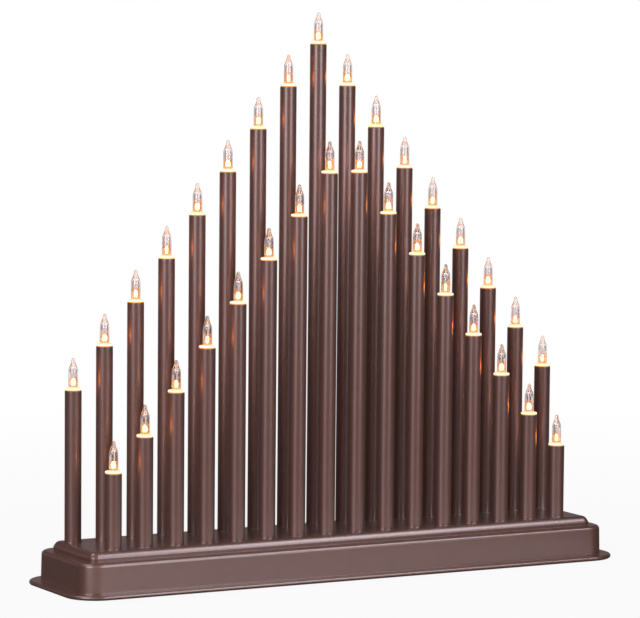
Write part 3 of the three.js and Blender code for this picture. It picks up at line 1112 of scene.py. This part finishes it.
# %% Plug
PLUG_RADIUS = 2.2
PLUG_LENGTH = 10.0
PLUG_ROUND = 0.5
PLUG_SWELL = 0.15  # the plug is a little thicker at the top, where it jams in the socket
PLUG_TOP = 0.25
SWELL_START = -0.4
WAIST_DEPTH = 0.25
WAIST = (-4.2, -4.0, -3.2, -3.0)  # heights at which the waist starts, is reached, ends, is left
CONTACT_RADIUS = 0.15
CONTACT_LIFT = 0.05  # how far the wire's middle lies outside the plug
CONTACT_TOP = -5.0

plug = turned([
    (0, -PLUG_LENGTH),
    *arc((PLUG_RADIUS - PLUG_ROUND, PLUG_ROUND - PLUG_LENGTH), PLUG_ROUND, -90, 0, 4),
    (PLUG_RADIUS, WAIST[0]),
    (PLUG_RADIUS - WAIST_DEPTH, WAIST[1]),
    (PLUG_RADIUS - WAIST_DEPTH, WAIST[2]),
    (PLUG_RADIUS, WAIST[3]),
    (PLUG_RADIUS + PLUG_SWELL, SWELL_START),
    (PLUG_RADIUS + PLUG_SWELL, PLUG_TOP),
    (0, PLUG_TOP),
], 24)
contact_out = PLUG_RADIUS + CONTACT_LIFT
contact_path = [
    (LEAD_SPREAD, 0.2 - PLUG_LENGTH), (1.2, -PLUG_LENGTH),
    (contact_out, 0.7 - PLUG_LENGTH), (contact_out, CONTACT_TOP),
]
contacts = bmesh.new()
for side in (-1, 1):
    add_shape(contacts, wire_mesh([(side * x, 0, z) for x, z in contact_path], CONTACT_RADIUS))

plug_plastic = clouded_finish(
    "plug plastic", 2.5 * MM, (0.78, 0.66, 0.46), (0.88, 0.78, 0.60), (0.32, 0.44),
    grain=(0.4 * MM, 0.01 * MM),
)
print("plug of", len(plug.faces), "faces")

# %% One bulb for each candle
TWIST = radians(137.5)  # bulbs go in at any angle, so each is turned this much past the last
bulb_parts = [
    ("glass", glass, bulb_glass, "bulb_glass", 0),
    ("filament", coil, tungsten, "lamp_metal", TWIST),
    ("leads", leads, nickel, "lamp_metal", TWIST),
    ("plug", plug, plug_plastic, "lamp_base", 0),
    ("contacts", contacts, nickel, "lamp_metal", TWIST),
]
for number, (name, candle) in enumerate(candles.items()):
    bulb, place = candle["bulb"], (candle["x"], candle["y"], candle["mouth"])
    for part, shape, finish, slot, twist in bulb_parts:
        shape = shifted(shape.copy(), *place, number * twist)
        piece(f"bulb_{part}_{name}", shape, finish, slot, bulb, bulb)
print("bulbs", len(candles))

# %% [markdown]
# ## Leads
#
# The lamps of a row are in series. So one thin lead goes up a tube to its holder, comes down
# again beside itself and runs on to the next tube. Near the middle each row has a branch to the
# terminal block. A curve with rounded corners gives every span.

# %% Leads
LEAD_CORE = 0.6
LEAD_LEVEL = 10.6
LEAD_BEND = 3.0


def upright_bend(x, side):
    """Points of the bend from a drop at x into the run that leaves it on one side."""
    middle = (x + side * LEAD_BEND, LEAD_LEVEL + LEAD_BEND)
    return arc(middle, LEAD_BEND, 180 if side > 0 else 0, 270, 5)


lead_pvc = clouded_finish(
    "lead pvc", 3 * MM, (0.050, 0.034, 0.028), (0.085, 0.060, 0.050), (0.42, 0.62),
)
terminal_low, terminal_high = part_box("terminal_block")
terminal_x = middle_of("terminal_block")[0] / MM
for row in ("back", "front"):
    holders = [candle for name, candle in candles.items() if name.startswith(row)]
    holders.sort(key=lambda candle: candle["x"])
    y = holders[0]["y"] / MM
    lead = bmesh.new()
    for here, there in zip(holders, holders[1:]):
        up = here["x"] / MM + LEAD_CORE
        down = there["x"] / MM - LEAD_CORE
        path = [
            (up, here["rim"] / MM - HOLDER_DEPTH),
            *upright_bend(up, 1),
            *reversed(upright_bend(down, -1)),
            (down, there["rim"] / MM - HOLDER_DEPTH),
        ]
        add_shape(lead, wire_mesh([(x, y, z) for x, z in path], LEAD_CORE))
    block_side = (terminal_high.y if y > 0 else terminal_low.y) / MM
    branch = [(terminal_x, y, LEAD_LEVEL), (terminal_x, block_side, LEAD_LEVEL)]
    add_shape(lead, wire_mesh(branch, LEAD_CORE))
    piece("string_lead_" + row, lead, lead_pvc, "lead_pvc", "candlestick", "lamp_string_" + row)

# %% [markdown]
# ## The underside
#
# A black plate closes the base. It is flat, so the CAD node stays and only gets its grain. Six
# countersunk screws hold it, and four rubber feet are pushed through it. A foot is turned, with
# a shallow cup under its pad. A screw is turned too, then its cross recess is cut, and its
# thread is a small ridge spun upwards along a helix.

# %% Rubber feet
CUP = [(0, 0.4), (3.2, 0.4), (3.6, 0)]  # radius and height of the hollow under the pad
PAD_ROUND = 0.5
PAD_EDGE = 0.3
PAD_TOP = 1.3
STEM_RADIUS = 2.0
BARB_RADIUS = 3.0
BARB_HEIGHT = 1.0
BARB_TIP = 0.1


def foot_shape(low, high):
    pad_radius = (high.x - low.x) / 2 / MM
    top = high.z / MM
    return turned([
        *CUP,
        *arc((pad_radius - PAD_ROUND, PAD_ROUND), PAD_ROUND, -90, 0, 4),
        *arc((pad_radius - PAD_EDGE, PAD_TOP - PAD_EDGE), PAD_EDGE, 0, 90, 3),
        (STEM_RADIUS, PAD_TOP),
        (STEM_RADIUS, top - BARB_HEIGHT),
        (BARB_RADIUS, top - BARB_HEIGHT),
        (STEM_RADIUS, top - BARB_TIP),
        (0, top),
    ], 32)


foot_rubber = clouded_finish(
    "foot rubber", 1.6 * MM, (0.028, 0.027, 0.026), (0.050, 0.048, 0.046), (0.72, 0.92),
    grain=(0.3 * MM, 0.03 * MM), detail=3.0,
)
for node in named("rubber_foot"):
    x, y, _ = middle_of(node)
    foot = shifted(foot_shape(*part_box(node)), x, y, 0)
    piece(node.replace("rubber_foot", "foot"), foot, foot_rubber, "foot_rubber", "candlestick", node)
print("feet at", round(x, 3), round(y, 3), "and its mirror places")

# %% Screws
HEAD_FACE = 1.9  # radius of the flat face of the head
FACE_ROUND = 0.35
HEAD_RADIUS = 3.0
HEAD_RIM = (0.82, 0.9)  # the rim's lower and upper height above the face
NECK = 0.15
NECK_TOP = 1.2
CORE_RADIUS = 1.15
POINT_LENGTH = 2.2
RECESS = (3.0, 0.55, 0.6)  # an arm of the cross: length, width and depth
RECESS_TAPER = (0.45, 0.8, 1)  # how much shorter and narrower its floor is
RECESS_MIDDLE = 0.25
THREAD_START = 1.5
THREAD_END = 2.4  # below the tip
THREAD_PITCH = 0.9
THREAD_WIDTH = 0.56
THREAD_ROOT = 0.1  # how far the ridge sinks into the core
THREAD_STEPS = 14  # for each turn
CREST_RADIUS = 1.42


def cross_shape(head):
    """The two arms of the recess, tapered like the driver's tip."""
    cross = bmesh.new()
    for turn in (0, pi / 2):
        arm = bmesh.new()
        bmesh.ops.create_cube(arm, size=MM)
        bmesh.ops.scale(arm, vec=RECESS, verts=arm.verts)
        deep_end = [v for v in arm.verts if v.co.z > 0]
        bmesh.ops.scale(arm, vec=RECESS_TAPER, verts=deep_end)
        add_shape(cross, shifted(arm, 0, 0, (head + RECESS_MIDDLE) * MM, turn))
    return cross


def thread_shape(start, end):
    """A ridge with a three-cornered section, spun upwards in whole turns."""
    ridge = bmesh.new()
    turns = int((end - start) / THREAD_PITCH)
    root = CORE_RADIUS - THREAD_ROOT
    ridge_section = [(root, start), (CREST_RADIUS, start + THREAD_WIDTH / 2), (root, start + THREAD_WIDTH)]
    corners = [ridge.verts.new((r * MM, 0, z * MM)) for r, z in ridge_section]
    sides = [ridge.edges.new((corners[i - 1], corners[i])) for i in range(3)]
    ridge.faces.new(corners)
    spun = bmesh.ops.spin(
        ridge, geom=corners + sides, cent=(0, 0, 0), axis=(0, 0, 1),
        dvec=(0, 0, THREAD_PITCH * MM / THREAD_STEPS),
        angle=2 * pi * turns, steps=THREAD_STEPS * turns, use_merge=False,
    )
    ridge.faces.new([g for g in spun["geom_last"] if isinstance(g, bmesh.types.BMVert)])
    bmesh.ops.recalc_face_normals(ridge, faces=ridge.faces)
    return ridge


def screw_shape(low, high):
    head, tip = low.z / MM, high.z / MM
    shape = turned([
        (0, head),
        (HEAD_FACE, head),
        *arc((HEAD_FACE, head + FACE_ROUND), FACE_ROUND, -90, -40, 3),
        (HEAD_RADIUS, head + HEAD_RIM[0]),
        (HEAD_RADIUS, head + HEAD_RIM[1]),
        (CORE_RADIUS + NECK, head + HEAD_RIM[1]),
        (CORE_RADIUS, head + NECK_TOP),
        (CORE_RADIUS, tip - POINT_LENGTH),
        (0, tip),
    ], 24)
    shape = combined(shape, cross_shape(head), "DIFFERENCE")
    add_shape(shape, thread_shape(head + THREAD_START, tip - THREAD_END))
    return shape


screw_steel = clouded_finish(
    "screw steel", 0.6 * MM, (0.42, 0.41, 0.39), (0.62, 0.61, 0.60), (0.24, 0.46),
    detail=3.0, metallic=1.0,
)
for node, (x, y) in screw_places.items():
    screw = shifted(screw_shape(*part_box(node)), x, y, 0)
    piece(node.replace("cover_screw", "screw"), screw, screw_steel, "screw_steel", "candlestick", node)
print("screws", len(screw_places))

# %% [markdown]
# ## The bushing and the terminal block
#
# The mains lead isn't in the picture, so only its way in is made: a dark plastic bushing that
# lines the hole in the back wall. It is turned, with a round lip on each side of the sheet, and
# then laid along Y. The terminal block inside is a plain moulded part, so its node stays.

# %% Bushing
BUSHING_BORE = 3.6
BUSHING_SLEEVE = 4.7
INNER_LIP = 1.2  # thickness of the lip inside the wall
OUTER_LIP = 1.8
INNER_ROUND = 0.4
OUTER_ROUND = 1.1
MOUTH_ROUND = 0.9

bushing_lip = (bushing_high.x - bushing_low.x) / 2 / MM
inside, outside = bushing_low.y / MM, bushing_high.y / MM
bushing = turned([
    *arc((BUSHING_BORE + INNER_ROUND, inside + INNER_ROUND), INNER_ROUND, 180, 270, 3),
    *arc((bushing_lip - INNER_ROUND, inside + INNER_ROUND), INNER_ROUND, 270, 360, 3),
    (bushing_lip, inside + INNER_LIP),
    (BUSHING_SLEEVE, inside + INNER_LIP),
    (BUSHING_SLEEVE, outside - OUTER_LIP),
    (bushing_lip, outside - OUTER_LIP),
    *arc((bushing_lip - OUTER_ROUND, outside - OUTER_ROUND), OUTER_ROUND, 0, 90, 5),
    *arc((BUSHING_BORE + MOUTH_ROUND, outside - MOUTH_ROUND), MOUTH_ROUND, 90, 180, 5),
], 40, closed=True)
lay_along_y(bushing)
shifted(bushing, bushing_x, 0, bushing_z)

bushing_plastic = clouded_finish(
    "bushing plastic", 2.0 * MM, (0.020, 0.017, 0.015), (0.036, 0.030, 0.027), (0.30, 0.42),
    grain=(0.5 * MM, 0.01 * MM),
)
piece("bushing", bushing, bushing_plastic, "bushing_plastic", "candlestick", "cable_bushing")
print("bushing from", round(inside, 1), "to", round(outside, 1), "mm")

# %% Plate and terminal block
PEBBLE = 0.9 * MM  # the size of the plate's grain
grained, graph = new_finish("grained plate")
pebble = graph.node("TexVoronoi", {"feature": "SMOOTH_F1"}, {
    "Vector": graph.place(), "Scale": 1 / PEBBLE, "Smoothness": 0.6,
}, output="Distance")
patch = graph.noise(14 * MM)
graph.surface(graph.principled(
    Base_Color=graph.mix(patch, (0.022, 0.021, 0.020), (0.036, 0.034, 0.032)),
    Roughness=0.48 + patch * 0.12,
    Normal=graph.bump(pebble, 0.06 * MM),
))
moulded = clouded_finish(
    "terminal plastic", 4 * MM, (0.60, 0.57, 0.50), (0.70, 0.67, 0.60), (0.42, 0.52),
    grain=(0.6 * MM, 0.01 * MM),
)
for node, finish in (("bottom_plate", grained), ("terminal_block", moulded)):
    slots = bpy.data.objects[node].data.materials
    slots.clear()
    slots.append(finish)
print("kept nodes: bottom_plate, terminal_block")
